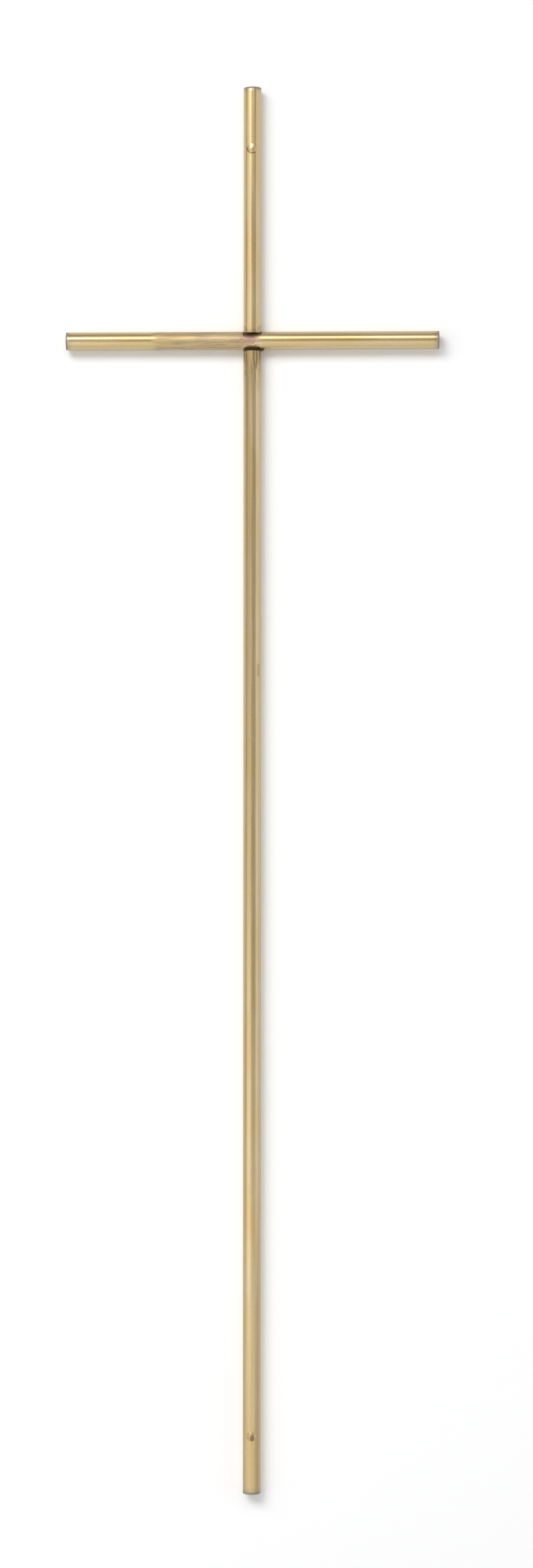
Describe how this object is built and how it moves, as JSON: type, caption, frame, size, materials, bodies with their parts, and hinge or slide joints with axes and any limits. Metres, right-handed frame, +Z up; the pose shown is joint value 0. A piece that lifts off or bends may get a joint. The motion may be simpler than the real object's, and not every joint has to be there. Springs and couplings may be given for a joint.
{
  "type": "brass grave cross",
  "caption": "Slender Latin cross of round brass rod, halved at the crossing, with rear studs for fixing it to a headstone.",
  "frame": {"origin": "where the axis of the lower stud meets the face of the stone behind the cross", "axes": "+Z up along the upright, +X to the right along the crossbar, +Y back into the stone; the front faces -Y and the stone's face is the plane Y = 0"},
  "size_m": [0.21, 0.0404, 0.79],
  "materials": {
    "rod_brass": "drawn and hand polished, with lengthwise draw lines, tarnish at the ends and heat stains at the crossing",
    "pin_brass": "filed and lightly polished heads, duller studs"
  },
  "bodies": {
    "root": {"upright": "rod_brass", "crossbar": "rod_brass", "upper_pin": "pin_brass", "lower_pin": "pin_brass"}
  },
  "joints": []
}
